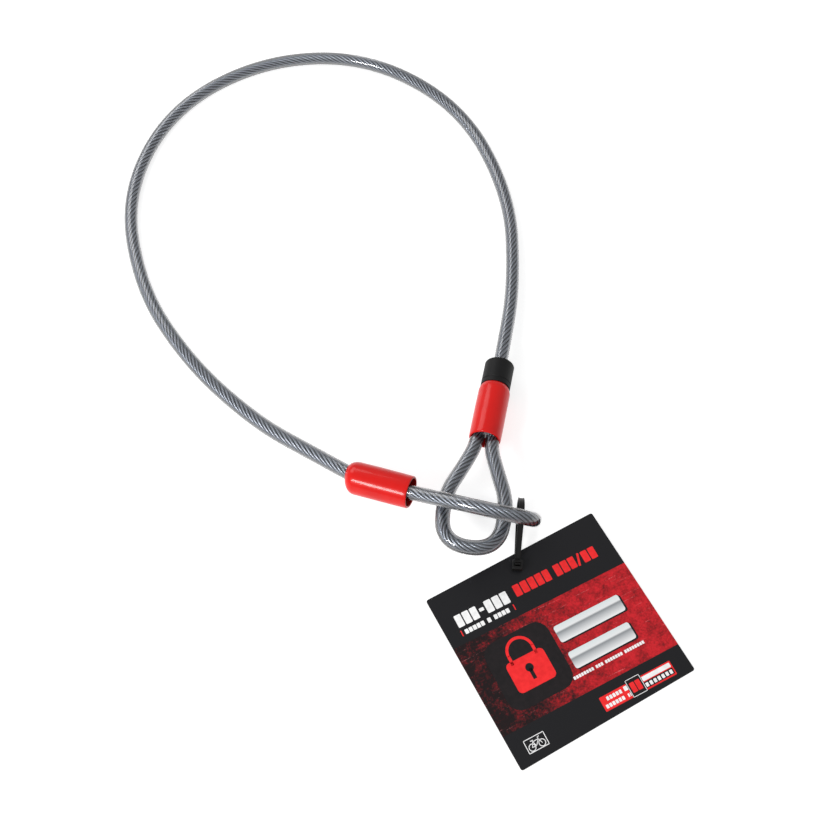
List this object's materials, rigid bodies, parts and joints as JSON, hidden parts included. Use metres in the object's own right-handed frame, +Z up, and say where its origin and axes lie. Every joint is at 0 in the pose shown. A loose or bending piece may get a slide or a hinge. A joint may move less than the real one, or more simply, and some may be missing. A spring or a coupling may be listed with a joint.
{
  "type": "looped bicycle security cable",
  "caption": "Jacketed steel security cable lying in an open loop, an eye at each end, the eyes linked, vinyl end caps, sliding collar and a hang tag on a tie.",
  "frame": {"origin": "centre of the footprint on the table, at the base", "axes": "+Z up from the table, the open loop lies towards +Y and the hang tag towards -Y; the main view looks along +Y from above"},
  "size_m": [0.4049, 0.5885, 0.0487],
  "materials": {
    "wire_rope": "stranded bright steel wire",
    "clear_jacket": "clear smoky vinyl, glossy",
    "ferrule": "pressed, satin",
    "vinyl_cap": "glossy red vinyl",
    "collar": "matt black",
    "cable_tie": "satin black nylon",
    "tag_card": "printed card, soft gloss"
  },
  "bodies": {
    "cable": {"main_rope": "wire_rope", "main_jacket": "clear_jacket", "eye_a_rope": "wire_rope", "eye_a_jacket": "clear_jacket", "eye_b_rope": "wire_rope", "eye_b_jacket": "clear_jacket", "ferrule_a": "ferrule", "ferrule_b": "ferrule", "cap_a": "vinyl_cap", "cap_b": "vinyl_cap"},
    "collar": {"collar": "collar"},
    "tie": {"cable_tie": "cable_tie"},
    "tag": {"hang_tag": "tag_card"}
  },
  "joints": [
    {"name": "collar_slide", "type": "slide", "parent": "cable", "child": "collar", "axis": [0.2081, 0.9742, -0.087], "range_m": [0, 0.012]},
    {"name": "tie_swing", "type": "hinge", "parent": "cable", "child": "tie", "pos_m": [0.09629, -0.13315, 0.00895], "axis": [-0.9964, 0.085, 0], "range_deg": [0, 25]},
    {"name": "tag_turn", "type": "hinge", "parent": "tie", "child": "tag", "pos_m": [0.09356, -0.1663, 0.00274], "axis": [0.0096, -0.0176, 0.9998], "range_deg": [-20, 20]}
  ]
}
